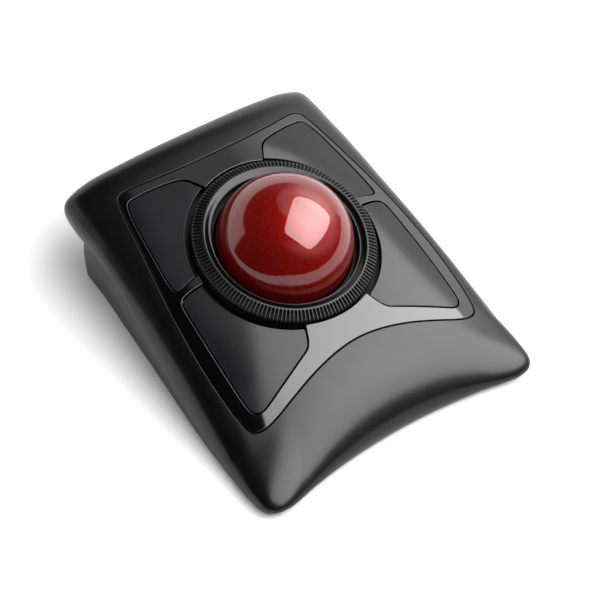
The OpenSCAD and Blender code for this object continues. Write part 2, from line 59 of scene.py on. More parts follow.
# The ball, and how far its centre lies under the crown
BALL_R, BALL_DROP = 27.5, 2.68
# The cover's wall, the ledge that carries the bezel, and the bezel's plate
WALL, LEDGE, PLATE, LEDGE_DROP = 2.2, 1.6, 2.2, 2.62

# Right halves of the cover's outlines, from the back to the front: where the bezel meets it, its
# widest edge, and its foot on the lower case
SEAM = [
    (0, 54.9), (14, 55.4), (28, 57.1), (40, 59.4), (44.6, 58.6), (46.4, 54.6), (48.2, 46),
    (50.6, 32), (53.2, 17), (55.2, 3), (56.8, -14), (57.3, -28), (56.8, -42), (55.2, -48.8),
    (51, -51), (44.5, -50.4), (35, -47.8), (23, -44.5), (11, -42.1), (0, -41.2),
]
RIM = [
    (0, 75.5), (18, 76), (35, 77), (49, 77.8), (58.4, 75.8), (60.4, 68), (60.6, 52),
    (61.6, 32), (62.8, 15), (63.9, 0), (65, -17), (66, -34), (66.7, -52), (66.8, -66),
    (64.8, -75.2), (57, -77.8), (42, -75.1), (28, -73.1), (14, -71.9), (0, -71.5),
]
FOOT = [
    (0, 64.6), (17, 64.9), (33, 66), (46.5, 67), (55.6, 65.4), (57.2, 60), (57.7, 48),
    (59.2, 32), (60.8, 15), (62.2, 0), (64, -17), (65.5, -34), (66.2, -52), (66.2, -66),
    (64, -74), (56.4, -76.2), (42, -73.8), (28, -72), (14, -70.9), (0, -70.5),
]
# Heights of the rim and of the join with the lower case, against y
RIM_Z = [
    (-80, 4.2), (-54, 4.4), (-43, 5.4), (-30, 7.6), (-14, 10.8), (15, 18.6), (32, 24.4), (46, 27.4),
    (80, 28.6),
]
JOIN_Z = [(-80, 1.9), (-66, 1.9), (-52, 2.3), (-34, 4.4), (-17, 7), (0, 10.4), (15, 15), (32, 20), (80, 20)]
# Outlines of the right-hand caps, before the ring's opening is cut out of them
UPPER = [
    (12, 38), (16.6, 45.6), (18.4, 48.6), (20.8, 50.6), (26, 52), (33, 53.3), (38, 53.9), (42.2, 54.2),
    (43.6, 52.6), (45.4, 45), (47.1, 32), (48.4, 21.5), (49, 14.4), (48.7, 11.8), (46.8, 11.5),
    (43.8, 12.2), (38, 12.8), (30, 12.8),
]
LOWER = [
    (28, 5), (38, 7.8), (44.5, 8), (48.2, 7.4), (49.6, 5.4), (50.2, -5), (50.8, -16), (51.1, -27),
    (51.2, -38), (50.9, -42.6), (49.2, -44.7), (46.4, -44.9), (42, -43.4), (32, -39.7), (23.4, -36.4),
    (19.9, -35), (18, -32.8), (15.4, -27), (12, -18),
]


def lookup(table, at):
    """Straight-line interpolation in a short table of (place, value)."""
    return float(np.interp(at, [p[0] for p in table], [p[1] for p in table]))


def reach(x):
    """Radius of the crown's section along the case, at x."""
    return LONG_R - SIDE_R + math.sqrt(SIDE_R**2 - x * x)


def crown(x, y):
    """Height of the crowned top."""
    return CROWN_C + math.sqrt(reach(x) ** 2 - (y - CROWN_Y) ** 2)


def crown_slope(x, y):
    """Rise of the crown for each step along x and along y."""
    rise = crown(x, y) - CROWN_C
    return -x / math.sqrt(SIDE_R**2 - x * x) * reach(x) / rise, -(y - CROWN_Y) / rise


def spline_loop(half, steps):
    """A closed Catmull-Rom outline from the right half, which runs from the back to the front."""
    whole = [Vector(p) for p in half] + [Vector((-x, y)) for x, y in reversed(half[1:-1])]
    n = len(whole)
    out = []
    for i in range(n):
        a, b, c, d = (whole[(i + k) % n] for k in (-1, 0, 1, 2))
        square, cube = 2 * a - 5 * b + 4 * c - d, 3 * b - a - 3 * c + d
        for k in range(steps):
            t = k / steps
            out.append(0.5 * (2 * b + (c - a) * t + square * t * t + cube * t**3))
    return out


def moved_in(loop, distance):
    """A closed clockwise outline moved towards its inside along its own normals."""
    n = len(loop)
    out = []
    for i in range(n):
        along = (loop[(i + 1) % n] - loop[i - 1]).normalized()
        out.append(loop[i] + distance * Vector((along.y, -along.x)))
    return out


def rounded(points, most=2.6, steps=4):
    """A polygon with each corner drawn as a short curve."""
    n = len(points)
    pts = [Vector(p) for p in points]
    out = []
    for i in range(n):
        a, b, c = pts[i - 1], pts[i], pts[(i + 1) % n]
        start = b + (a - b).normalized() * min(most, 0.45 * (a - b).length)
        end = b + (c - b).normalized() * min(most, 0.45 * (c - b).length)
        for k in range(steps + 1):
            t = k / steps
            out.append((1 - t) ** 2 * start + 2 * t * (1 - t) * b + t * t * end)
    return out


def resampled(loop, spacing):
    """Extra points along the long stretches of a closed outline."""
    out = []
    for a, b in zip(loop, loop[1:] + loop[:1]):
        parts = max(1, math.ceil((b - a).length / spacing))
        out += [a.lerp(b, k / parts) for k in range(parts)]
    return out


def mirrored(loop):
    """The left-hand copy of an outline, in the same sense of turn."""
    return [Vector((-p.x, p.y)) for p in reversed(loop)]


def inside(loop, x, y):
    """Whether a point lies within a closed outline."""
    hit = False
    for a, b in zip(loop, loop[1:] + loop[:1]):
        if (a.y > y) != (b.y > y) and x < a.x + (y - a.y) / (b.y - a.y) * (b.x - a.x):
            hit = not hit
    return hit


def ring_radius(x, y):
    """Distance of a point of the crown from the ring's axis."""
    p = RING_FRAME.inverted() @ Vector((x, y, crown(x, y)))
    return math.hypot(p.x, p.y)


def opening_loop(radius, count=240, rounds=6):
    """Where a cylinder round the ring's axis meets the crown, seen from above."""
    out = []
    for i in range(count):
        turn = -2 * math.pi * i / count
        height = 0.0
        for _ in range(rounds):
            p = RING_FRAME @ Vector((radius * math.cos(turn), radius * math.sin(turn), height))
            height -= (p.z - crown(p.x, p.y)) / math.cos(TILT)
        out.append(Vector((p.x, p.y)))
    return out


# ---------------------------------------------------------------- mesh helpers
# Vertices closer than this are one vertex
SAME_PLACE = 1e-4
# Widths of the rounded edges
COVER_EDGE, BEZEL_EDGE, CAP_EDGE, STEM_EDGE = 0.22, 0.2, 0.18, 0.15


def new_object(name, bm, smooth_angle=35):
    """A mesh object in metres from a bmesh in millimetres."""
    bmesh.ops.remove_doubles(bm, verts=bm.verts, dist=SAME_PLACE)
    bmesh.ops.recalc_face_normals(bm, faces=bm.faces)
    bmesh.ops.scale(bm, vec=(MM, MM, MM), verts=bm.verts)
    mesh = bpy.data.meshes.new(name)
    bm.to_mesh(mesh)
    bm.free()
    obj = bpy.data.objects.new(name, mesh)
    bpy.context.scene.collection.objects.link(obj)
    mesh.polygons.foreach_set("use_smooth", [True] * len(mesh.polygons))
    mesh.set_sharp_from_angle(angle=math.radians(smooth_angle))
    return obj


def add_bevel(obj, width, segments=3, angle=40):
    """Rounds the sharp edges to a width in millimetres."""
    bevel = obj.modifiers.new("edge", "BEVEL")
    bevel.width = width * MM
    bevel.segments = segments
    bevel.limit_method = "ANGLE"
    bevel.angle_limit = math.radians(angle)
    bevel.use_clamp_overlap = False
    bevel.harden_normals = True
    bevel.miter_outer = "MITER_ARC"
    return obj


def bm_block(bm, low, high, matrix):
    """A box between two corners, moved by the matrix."""
    made = bmesh.ops.create_cube(bm, size=1)["verts"]
    low, high = Vector(low), Vector(high)
    size = Matrix.Diagonal((*(high - low), 1))
    place = Matrix.Translation((low + high) / 2)
    bmesh.ops.transform(bm, matrix=matrix @ place @ size, verts=made)


def bm_rod(bm, radius, start, end, matrix, sides=32):
    """A round bar between two points, moved by the matrix."""
    start, end = Vector(start), Vector(end)
    made = bmesh.ops.create_cone(
        bm, cap_ends=True, segments=sides, radius1=radius, radius2=radius, depth=(end - start).length
    )["verts"]
    turn = (end - start).to_track_quat("Z", "Y").to_matrix().to_4x4()
    place = Matrix.Translation((start + end) / 2)
    bmesh.ops.transform(bm, matrix=matrix @ place @ turn, verts=made)


def bm_revolve(bm, profile, count, matrix, shape=None):
    """A closed profile of (radius, height) turned round +Z; shape may move a point by its turn."""
    rings = []
    for i in range(count):
        turn = 2 * math.pi * i / count
        ring = []
        for k, (r, z) in enumerate(profile):
            if shape:
                r, z = shape(i, k, r, z)
            ring.append(bm.verts.new(matrix @ Vector((r * math.cos(turn), r * math.sin(turn), z))))
        rings.append(ring)
    n = len(profile)
    for i in range(count):
        a, b = rings[i], rings[(i + 1) % count]
        for k in range(n):
            bm.faces.new((a[k], a[(k + 1) % n], b[(k + 1) % n], b[k]))


def bm_tube(bm, outer, inner, low, high, matrix, sides=32):
    """A tube along +Z, moved by the matrix."""
    bm_revolve(bm, [(inner, low), (outer, low), (outer, high), (inner, high)], sides, matrix)


# The grid of points inside a plate: its spacing, the height of one row, and how far it keeps from an outline
GRID = 2.2
GRID_ROW = 0.866 * GRID
GRID_CLEAR = 0.55 * GRID
# The outlines meet at points that would leave shorter edges than this
SHORTEST_EDGE = 0.45
CDT_EPSILON = 1e-5


def level(x, y):
    """No change of height."""
    return 0


def crown_panel(name, loops, keep, thickness, edge, sunk=level):
    """A plate of the crown where keep(x, y) is true, cut along the loops; sunk(x, y) lowers its top."""
    points, edges = [], []
    for loop in loops:
        first = len(points)
        points += loop
        count = len(loop)
        edges += [(first + i, first + (i + 1) % count) for i in range(count)]
    rim = np.array([(p.x, p.y) for p in points])
    low, high = rim.min(0), rim.max(0)
    for j, y in enumerate(np.arange(low[1], high[1], GRID_ROW)):
        for x in np.arange(low[0] + (j % 2) * GRID / 2, high[0], GRID):
            if keep(x, y) and np.hypot(rim[:, 0] - x, rim[:, 1] - y).min() > GRID_CLEAR:
                points.append(Vector((x, y)))
    verts, _, faces, *_ = geometry.delaunay_2d_cdt(points, edges, [], 0, CDT_EPSILON)
    bm = bmesh.new()
    made = [bm.verts.new((v.x, v.y, crown(v.x, v.y) - sunk(v.x, v.y))) for v in verts]
    for f in faces:
        middle = sum((verts[i] for i in f), Vector((0, 0))) / len(f)
        if keep(middle.x, middle.y):
            bm.faces.new([made[i] for i in f])
    bmesh.ops.delete(bm, geom=[v for v in bm.verts if not v.link_faces], context="VERTS")
    bmesh.ops.remove_doubles(bm, verts=bm.verts, dist=SHORTEST_EDGE)
    # The extrude tool would order the new parts differently on each run, and the bevel follows that order
    top, outer = list(bm.faces), [e for e in bm.edges if e.is_boundary]
    under = {v: bm.verts.new((v.co.x, v.co.y, crown(v.co.x, v.co.y) - thickness)) for v in list(bm.verts)}
    for f in top:
        bm.faces.new([under[v] for v in reversed(f.verts)])
    for e in outer:
        a, b = e.verts
        bm.faces.new((a, b, under[b], under[a]))
    return add_bevel(new_object(name, bm), edge)


# ---------------------------------------------------------------- materials
# The part of a noise pattern's range that is used, and the depth of the finest surface relief in metres
NOISE_LOW, NOISE_HIGH = 0.35, 0.65
RELIEF = 0.00002


def nodes_of(name):
    """A new material, its node tree and its surface shader."""
    material = bpy.data.materials.new(name)
    material.use_nodes = True
    shader = material.node_tree.nodes["Principled BSDF"]
    return material, material.node_tree, shader


def noise(tree, scale, detail=3.0, roughness=0.55):
    """A noise pattern that is fixed to the piece."""
    coords = tree.nodes.new("ShaderNodeTexCoord")
    texture = tree.nodes.new("ShaderNodeTexNoise")
    texture.inputs["Scale"].default_value = scale
    texture.inputs["Detail"].default_value = detail
    texture.inputs["Roughness"].default_value = roughness
    tree.links.new(coords.outputs["Object"], texture.inputs["Vector"])
    return texture.outputs["Fac"]


def spread(tree, value, low, high):
    """A noise value turned into the range low to high."""
    node = tree.nodes.new("ShaderNodeMapRange")
    node.inputs["From Min"].default_value = NOISE_LOW
    node.inputs["From Max"].default_value = NOISE_HIGH
    node.inputs["To Min"].default_value = low
    node.inputs["To Max"].default_value = high
    tree.links.new(value, node.inputs["Value"])
    return node.outputs["Result"]


def two_colours(tree, value, first, second, low=NOISE_LOW, high=NOISE_HIGH):
    """A noise value turned into a blend of two colours."""
    ramp = tree.nodes.new("ShaderNodeValToRGB")
    ramp.color_ramp.elements[0].position = low
    ramp.color_ramp.elements[0].color = (*first, 1)
    ramp.color_ramp.elements[1].position = high
    ramp.color_ramp.elements[1].color = (*second, 1)
    tree.links.new(value, ramp.inputs["Fac"])
    return ramp.outputs["Color"]


def bump(tree, shader, value, strength, distance=RELIEF):
    """Fine relief under a shader."""
    node = tree.nodes.new("ShaderNodeBump")
    node.inputs["Strength"].default_value = strength
    node.inputs["Distance"].default_value = distance
    tree.links.new(value, node.inputs["Height"])
    tree.links.new(node.outputs["Normal"], shader.inputs["Normal"])


def moulded(name, colour, roughness, grain=2600.0, depth=0.25, vary=0.35, shine=0.5):
    """Moulded plastic: colour and gloss drift slowly, over a fine surface grain."""
    material, tree, shader = nodes_of(name)
    light = tuple(c * (1 + vary) for c in colour)
    tree.links.new(two_colours(tree, noise(tree, 60.0), colour, light), shader.inputs["Base Color"])
    gloss = spread(tree, noise(tree, 180.0), roughness * 0.94, roughness * 1.06)
    tree.links.new(gloss, shader.inputs["Roughness"])
    shader.inputs["Specular IOR Level"].default_value = shine
    bump(tree, shader, noise(tree, grain, 2.0), depth)
    return material


def metal(name, colour, roughness):
    """Bare metal with a slight drift of colour and polish."""
    material, tree, shader = nodes_of(name)
    light = tuple(min(1.0, c * 1.15) for c in colour)
    tree.links.new(two_colours(tree, noise(tree, 400.0), colour, light), shader.inputs["Base Color"])
    polish = spread(tree, noise(tree, 900.0), roughness, roughness * 1.4)
    tree.links.new(polish, shader.inputs["Roughness"])
    shader.inputs["Metallic"].default_value = 1.0
    bump(tree, shader, noise(tree, 1800.0), 0.15)
    return material


def pearl_ball(name):
    """Polished resin: a clear coat over deep red with fine pearl flakes."""
    material, tree, shader = nodes_of(name)
    flakes = noise(tree, 1500.0, 2.0, 0.7)
    deep, pearl = (0.09, 0.0006, 0.0012), (0.13, 0.006, 0.0024)
    tree.links.new(two_colours(tree, flakes, deep, pearl, 0.34, 0.72), shader.inputs["Base Color"])
    tree.links.new(spread(tree, noise(tree, 300.0), 0.38, 0.44), shader.inputs["Roughness"])
    shader.inputs["Metallic"].default_value = 0.5
    shader.inputs["Specular IOR Level"].default_value = 0.0
    shader.inputs["Coat Weight"].default_value = 1.0
    shader.inputs["Coat Roughness"].default_value = 0.03
    shader.inputs["Coat IOR"].default_value = 1.52
    return material


def circuit_board(name):
    """Green solder mask with faint tracks under it."""
    material, tree, shader = nodes_of(name)
    coords = tree.nodes.new("ShaderNodeTexCoord")
    tracks = tree.nodes.new("ShaderNodeTexBrick")
    tracks.inputs["Scale"].default_value = 260.0
    tracks.inputs["Mortar Size"].default_value = 0.03
    tracks.inputs["Color1"].default_value = (0.012, 0.095, 0.042, 1)
    tracks.inputs["Color2"].default_value = (0.016, 0.12, 0.055, 1)
    tracks.inputs["Mortar"].default_value = (0.03, 0.19, 0.08, 1)
    tree.links.new(coords.outputs["Object"], tracks.inputs["Vector"])
    tree.links.new(tracks.outputs["Color"], shader.inputs["Base Color"])
    tree.links.new(spread(tree, noise(tree, 500.0), 0.28, 0.42), shader.inputs["Roughness"])
    bump(tree, shader, tracks.outputs["Fac"], 0.3, 0.00003)
    return material


def clear_lens(name):
    """Clear acrylic, with a slight drift of polish."""
    material, tree, shader = nodes_of(name)
    shader.inputs["Base Color"].default_value = (0.85, 0.92, 0.95, 1)
    shader.inputs["Transmission Weight"].default_value = 1.0
    shader.inputs["IOR"].default_value = 1.49
    tree.links.new(spread(tree, noise(tree, 400.0), 0.02, 0.06), shader.inputs["Roughness"])
    return material


# Each look: how it is made, then its colour, its roughness and what differs from that maker's defaults
LOOKS = {
    "cover_black": (moulded, (0.0014, 0.0014, 0.0015), 0.25, {"grain": 3000.0, "depth": 0.1, "shine": 0.25}),
    "bezel_gloss": (moulded, (0.0005, 0.0005, 0.0006), 0.045, {"grain": 900.0, "depth": 0.01}),
    "case_black": (moulded, (0.016, 0.016, 0.0165), 0.4, {"grain": 2200.0, "depth": 0.3}),
    "cup_black": (moulded, (0.0008, 0.0008, 0.0009), 0.55, {"shine": 0.1}),
    "bearing_white": (moulded, (0.78, 0.75, 0.68), 0.12, {"grain": 1500.0, "depth": 0.02, "vary": 0.05}),
    "retainer_grey": (moulded, (0.001, 0.001, 0.0011), 0.55, {"shine": 0.1}),
    "screw_steel": (metal, (0.52, 0.53, 0.55), 0.28, {}),
    "ring_black": (moulded, (0.0014, 0.0014, 0.0015), 0.36, {"grain": 2400.0, "depth": 0.08, "shine": 0.45}),
    "ring_rim": (moulded, (0.0008, 0.0008, 0.0009), 0.15, {"grain": 2400.0, "depth": 0.06, "shine": 0.22}),
    "button_grey": (moulded, (0.003, 0.003, 0.0034), 0.13, {"grain": 3400.0, "depth": 0.05, "shine": 0.22}),
    "plunger_ivory": (moulded, (0.6, 0.57, 0.48), 0.35, {"vary": 0.06}),
    "switch_grey": (moulded, (0.03, 0.034, 0.042), 0.42, {}),
    "sensor_black": (moulded, (0.006, 0.006, 0.007), 0.5, {}),
    "shield_metal": (metal, (0.62, 0.63, 0.65), 0.32, {}),
    "cell_wrap": (moulded, (0.055, 0.085, 0.13), 0.2, {"grain": 700.0, "depth": 0.05}),
    "contact_nickel": (metal, (0.66, 0.65, 0.62), 0.2, {}),
    "receiver_black": (moulded, (0.012, 0.012, 0.013), 0.4, {}),
    "knob_silver": (moulded, (0.42, 0.42, 0.44), 0.38, {"vary": 0.08}),
    "foot_rubber": (moulded, (0.022, 0.022, 0.022), 0.75, {"grain": 1800.0, "depth": 0.6}),
    "label_grey": (moulded, (0.2, 0.21, 0.225), 0.5, {"vary": 0.06}),
}
MATERIALS = {
    name: make(name, colour, roughness, **rest) for name, (make, colour, roughness, rest) in LOOKS.items()
}
for name, make in (("ball_red", pearl_ball), ("board_green", circuit_board), ("lens_clear", clear_lens)):
    MATERIALS[name] = make(name)


def dress(obj, slot, body, *replaced):
    """Gives a new piece its material and its body, and hides the CAD nodes that it replaces."""
    obj.data.materials.clear()
    obj.data.materials.append(MATERIALS[slot])
    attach(obj, body)
    if replaced:
        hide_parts(*replaced)


# ---------------------------------------------------------------- the cover
# The rim rises in the middle of the rear wall: how far, its half width, and the run of y over which it grows
LIFT, LIFT_HALF, LIFT_FROM, LIFT_RUN = 8, 56, 66, 8
# The side's curve ends plumb at the rim; its handle there is this share of its height, and this much at least
PLUMB, PLUMB_LEAST = 0.72, 4.6
# Clearance between the cover's foot and the lower case
JOIN_GAP = 0.25
# Points along the outside above the rim, below it, and along the inside; the first thin out downwards
TOP_STEPS, LIP_STEPS, BACK_STEPS = 22, 9, 8
TOP_EASE = 1.15
# Steps between two points of the cover's outlines
OUTLINE_STEPS = 8
# Screw posts inside the cover: x, y, and the heights of their ends
POST_R, POST_BORE_R = 3.2, 1.5
POSTS = [(51, 49, 22.0, 34), (-51, 49, 22.0, 34), (51, -60, 7.0, 11), (-51, -60, 7.0, 11), (0, -61, 7.0, 13)]


def bezier(p, t):
    """A point on the cubic curve of four control points."""
    s = 1 - t
    return p[0] * s**3 + 3 * p[1] * t * s**2 + 3 * p[2] * t * t * s + p[3] * t**3


def raised(p, z):
    """A point of an outline at height z."""
    return Vector((p.x, p.y, z))


def cover_section(s, r, b):
    """One closed section of the cover, from the seam s over the rim r to the foot b and back inside."""
    inward, run = (s - r).normalized(), r - s
    z0 = crown(s.x, s.y)
    dx, dy = crown_slope(s.x, s.y)
    grade = dx * run.x + dy * run.y
    lift = LIFT * max(0, 1 - (r.x / LIFT_HALF) ** 2) * max(0, min(1, (r.y - LIFT_FROM) / LIFT_RUN))
    zr = lookup(RIM_Z, r.y) + lift
    zj = lookup(JOIN_Z, b.y) + JOIN_GAP
    drop = zr - zj
    full = max(PLUMB_LEAST, PLUMB * (z0 + grade - zr))
    middle = (s + r) / 2
    top = [raised(s, z0), raised(middle, z0 + grade * 0.5), raised(r, zr + full), raised(r, zr)]
    under = (r + b) / 2
    lip = [raised(r, zr), raised(r, zr - 0.6 * drop), raised(under, zj + 0.1 * drop), raised(b, zj)]
    shelf = s + inward * LEDGE
    back = [
        raised(b + inward * WALL, zj),
        raised(b.lerp(r, 0.55) + inward * WALL, zj + 0.3 * drop + 1),
        raised(r + inward * WALL * 1.3, zr + full * 0.6),
        raised(s - inward * 1.4, z0 - LEDGE_DROP - LEDGE),
    ]
    shelf_z = crown(shelf.x, shelf.y) - LEDGE_DROP
    out = [bezier(top, (k / TOP_STEPS) ** TOP_EASE) for k in range(TOP_STEPS + 1)]
    out += [bezier(lip, k / LIP_STEPS) for k in range(1, LIP_STEPS + 1)]
    out += [bezier(back, k / BACK_STEPS) for k in range(BACK_STEPS + 1)]
    return out + [raised(shelf, shelf_z - LEDGE), raised(shelf, shelf_z), raised(s, z0 - LEDGE_DROP)]


def make_cover():
    """The crowned shell round the bezel, with its screw posts."""
    seam, rim, foot = (spline_loop(half, OUTLINE_STEPS) for half in (SEAM, RIM, FOOT))
    bm = bmesh.new()
    rings = [[bm.verts.new(p) for p in cover_section(s, r, b)] for s, r, b in zip(seam, rim, foot)]
    n, m = len(rings), len(rings[0])
    for i in range(n):
        a, b = rings[i], rings[(i + 1) % n]
        for k in range(m):
            bm.faces.new((a[k], a[(k + 1) % m], b[(k + 1) % m], b[k]))
    for x, y, low, high in POSTS:
        bm_tube(bm, POST_R, POST_BORE_R, low, high, Matrix.Translation((x, y, 0)))
    obj = add_bevel(new_object("cover", bm), COVER_EDGE, angle=55)
    dress(obj, "cover_black", "housing", "top_shell")


# ---------------------------------------------------------------- bezel and buttons
def clockwise(loop):
    """The same outline, in the sense of turn that moved_in needs."""
    area = sum(a.x * b.y - b.x * a.y for a, b in zip(loop, loop[1:] + loop[:1]))
    return loop if area < 0 else list(reversed(loop))


# Gaps round the caps and round the bezel, and the spacing of points along an outline
GAP, SEAM_GAP, OUTLINE_SPACING = 0.6, 0.55, 1.2
SEAM_LOOP = resampled(moved_in(spline_loop(SEAM, OUTLINE_STEPS), SEAM_GAP), OUTLINE_SPACING)
OPENING = opening_loop(OPENING_R)
BUTTON_EDGE = opening_loop(BUTTON_R)
CAPS = {
    row: clockwise(resampled(rounded(outline), OUTLINE_SPACING)) for row, outline in zip(ROWS, (UPPER, LOWER))
}
# Thickness of a cap, and how far its top dips at the ring and over what distance
CAP_T, DISH, DISH_RUN = 2.0, 0.6, 20.0
# Where the right-hand caps turn, with the direction of the axis, and how far it lies under the crown
HINGES = {"upper": ((32, 50.6), (-1, -0.165)), "lower": ((48.3, -16), (0, 1))}
HINGE_DEPTH = 4.5
# A lug at each end of the axis (half width, start, end, top), and the trunnion that it carries
LUG, LUG_FROM, LUG_TO, LUG_TOP = 1.9, 5.0, 8.0, 3.0
TRUNNION_R, TRUNNION_FROM, TRUNNION_TO = 1.0, 7.5, 11.1
# The stem over each right-hand switch, in the ring's frame
SWITCH_AT = {"upper": (36.5, 26), "lower": (30.5, -37)}
STEM_R, STEM_LOW, STEM_TOP = 1.6, -8.55, -5.7


def make_bezel():
    """The gloss plate, with the ring's opening and a hole for each cap."""
    holes = [moved_in(CAPS[row], -GAP) for row in ROWS]
    holes += [clockwise(mirrored(hole)) for hole in holes]

    def keep(x, y):
        if ring_radius(x, y) <= OPENING_R or not inside(SEAM_LOOP, x, y):
            return False
        return not any(inside(hole, x, y) for hole in holes)

    obj = crown_panel("bezel", [SEAM_LOOP, OPENING, *holes], keep, PLATE, BEZEL_EDGE)
    dress(obj, "bezel_gloss", "housing", "gloss_bezel")


def hinge_frame(row):
    """Origin on the right-hand cap's axis, X away from the cap, Y along the axis, Z out of the crown."""
    (x, y), (run_x, run_y) = HINGES[row]
    dx, dy = crown_slope(x, y)
    along = Vector((run_x, run_y, dx * run_x + dy * run_y)).normalized()
    out = along.cross(Vector((-dx, -dy, 1))).normalized()
    up = out.cross(along)
    centre = Vector((x, y, crown(x, y))) - HINGE_DEPTH * up
    return Matrix.Translation(centre) @ Matrix((out, along, up)).transposed().to_4x4()


def make_button(row, side):
    """A cap, and under it the lugs and trunnions of its hinge and the stem that presses its switch."""
    loop = CAPS[row] if side == "right" else clockwise(mirrored(CAPS[row]))

    def keep(x, y):
        return inside(loop, x, y) and ring_radius(x, y) > BUTTON_R

    def dish(x, y):
        return DISH * max(0, 1 - (ring_radius(x, y) - BUTTON_R) / DISH_RUN) ** 2

    cap = crown_panel(f"cap_{row}_{side}", [loop, BUTTON_EDGE], keep, CAP_T, CAP_EDGE, dish)
    bm = bmesh.new()
    hinge = hinge_frame(row)
    for end in (-1, 1):
        near, far = sorted((end * LUG_FROM, end * LUG_TO))
        bm_block(bm, (-LUG, near, -LUG), (LUG, far, LUG_TOP), hinge)
        bm_rod(bm, TRUNNION_R, (0, end * TRUNNION_FROM, 0), (0, end * TRUNNION_TO, 0), hinge)
    x, y = SWITCH_AT[row]
    bm_rod(bm, STEM_R, (x, y, STEM_LOW), (x, y, STEM_TOP), RING_FRAME)
    if side == "left":
        bmesh.ops.scale(bm, vec=(-1, 1, 1), verts=bm.verts)
    stem = add_bevel(new_object(f"stem_{row}_{side}", bm), STEM_EDGE, segments=2)
    body = f"button_{row}_{side}"
    dress(cap, "button_grey", body, body)
    dress(stem, "button_grey", body)


# ---------------------------------------------------------------- scroll ring and ball
RIDGES, RIDGE_DEPTH = 144, 1.1
# One ridge and one groove round the ring, from 0 on the ridge to 1 in the groove
RIDGE_SHAPE = (0, 0.03, 0.16, 0.46, 0.75, 0.93, 1, 0.93, 0.75, 0.46, 0.16, 0.03)
# Inside this radius the ring is smooth
RIM_R = 33.0
# The ring turns down to its side from this radius; a groove goes inwards by these shares of its depth
SHOULDER_R = 36.7
TOP_SHARE, SIDE_SHARE = 0.3, 0.15
# Radius, height over the crown at the ring's axis, and the share of the groove's depth
RING_PROFILE = [
    (35.6, -5.4, 0), (35.6, -2.9, 0), (34.9, -2.2, 0), (29.75, -2.2, 0), (29.6, -2.05, 0), (29.6, -0.3, 0),
    (29.68, -0.07, 0), (29.85, 0.07, 0), (30.05, 0.08, 0), (30.25, 0.05, 0), (31.1, 0.46, 0),
    (32.1, 0.95, 0), (32.5, 1.12, 0), (32.8, 1.15, 0), (33.05, 1.08, 0), (33.3, 0.95, 0.15),
    (33.6, 0.82, 1), (34.7, 0.32, 1), (35.7, -0.13, 1), (SHOULDER_R, -0.6, 1), (37.05, -0.84, 1),
    (37.28, -1.15, 1), (RING_R, -1.6, 1), (RING_R, -3.2, 1), (RING_R, -4.6, 1), (37.3, -4.85, 0.3),
    (37.1, -5.15, 0), (36.9, -5.4, 0),
]
# The skirt under the ring, with the slots that the sensor reads and the flange that keeps the ring in
SKIRT_IN, SKIRT_OUT, SKIRT_TOP, SKIRT_STEPS = 35.6, 36.9, -5.4, 240
SLOTS, SLOT_TOP, SLOT_LOW, SLOT_HALF = 60, -10.4, -13.5, 0.8
FLANGE_R, FLANGE_TOP, FLANGE_T = 38.1, -8.8, 1
# The radius at which a tooth's width is measured; parts of the skirt overlap by these amounts
TOOTH_R, SINK, TOOTH_SINK = 36.2, 0.02, 0.05
# Cuts along each edge of the cube that becomes the ball
BALL_CUTS = 47


def make_ring():
    """The knurled ring, with a smooth glossier rim."""
    bm = bmesh.new()

    def ridge(i, k, r, z):
        cut = RING_PROFILE[k][2] * RIDGE_SHAPE[i % len(RIDGE_SHAPE)] * RIDGE_DEPTH
        on_side = min(1.0, max(0.0, (r - SHOULDER_R) / (RING_R - SHOULDER_R)))
        return r - cut * (TOP_SHARE + SIDE_SHARE * on_side), z - cut * (1 - on_side)

    steps = RIDGES * len(RIDGE_SHAPE)
    bm_revolve(bm, [(r, z) for r, z, _ in RING_PROFILE], steps, RING_FRAME, ridge)
    obj = new_object("knurled_ring", bm, 50)
    dress(obj, "ring_black", "scroll_ring", "scroll_ring")
    obj.data.materials.append(MATERIALS["ring_rim"])
    to_ring = RING_FRAME.inverted()
    for polygon in obj.data.polygons:
        middle = to_ring @ (polygon.center / MM)
        polygon.material_index = int(math.hypot(middle.x, middle.y) < RIM_R)


def make_skirt():
    """The ring's slotted skirt, as a band with teeth under it and a flange round it."""
    bm = bmesh.new()
    bm_tube(bm, SKIRT_OUT, SKIRT_IN, SLOT_TOP, SKIRT_TOP, RING_FRAME, SKIRT_STEPS)
    bm_tube(bm, FLANGE_R, SKIRT_OUT - SINK, FLANGE_TOP - FLANGE_T, FLANGE_TOP, RING_FRAME, SKIRT_STEPS)
    step = 2 * math.pi / SLOTS
    half = TOOTH_R * math.sin(step / 2) - SLOT_HALF
    low = (SKIRT_IN + SINK, -half, SLOT_LOW)
    high = (SKIRT_OUT - SINK, half, SLOT_TOP + TOOTH_SINK)
    for i in range(SLOTS):
        bm_block(bm, low, high, RING_FRAME @ Matrix.Rotation(step * (i + 0.5), 4, "Z"))
    dress(new_object("ring_skirt", bm), "ring_black", "scroll_ring")


def make_ball():
    """A cube blown up into a ball, so that its faces are all about the same size."""
    bm = bmesh.new()
    bmesh.ops.create_cube(bm, size=2)
    bmesh.ops.subdivide_edges(bm, edges=bm.edges, cuts=BALL_CUTS, use_grid_fill=True)
    centre = RING_FRAME @ Vector((0, 0, -BALL_DROP))
    for v in bm.verts:
        even = Vector([math.tan(c * math.pi / 4) for c in v.co])
        v.co = centre + even.normalized() * BALL_R
    dress(new_object("polished_ball", bm, 80), "ball_red", "ball", "ball")


# ---------------------------------------------------------------- feet
# Right-hand feet as x, y and radius, and how high each one reaches into its recess
FEET = [(38, 53, 5), (55, -67, 5), (22, -65, 4)]
FOOT_TOP, FOOT_STEPS = 0.99, 48
# The profile stays this far off its axis, so that no face collapses there
OFF_AXIS = 0.001


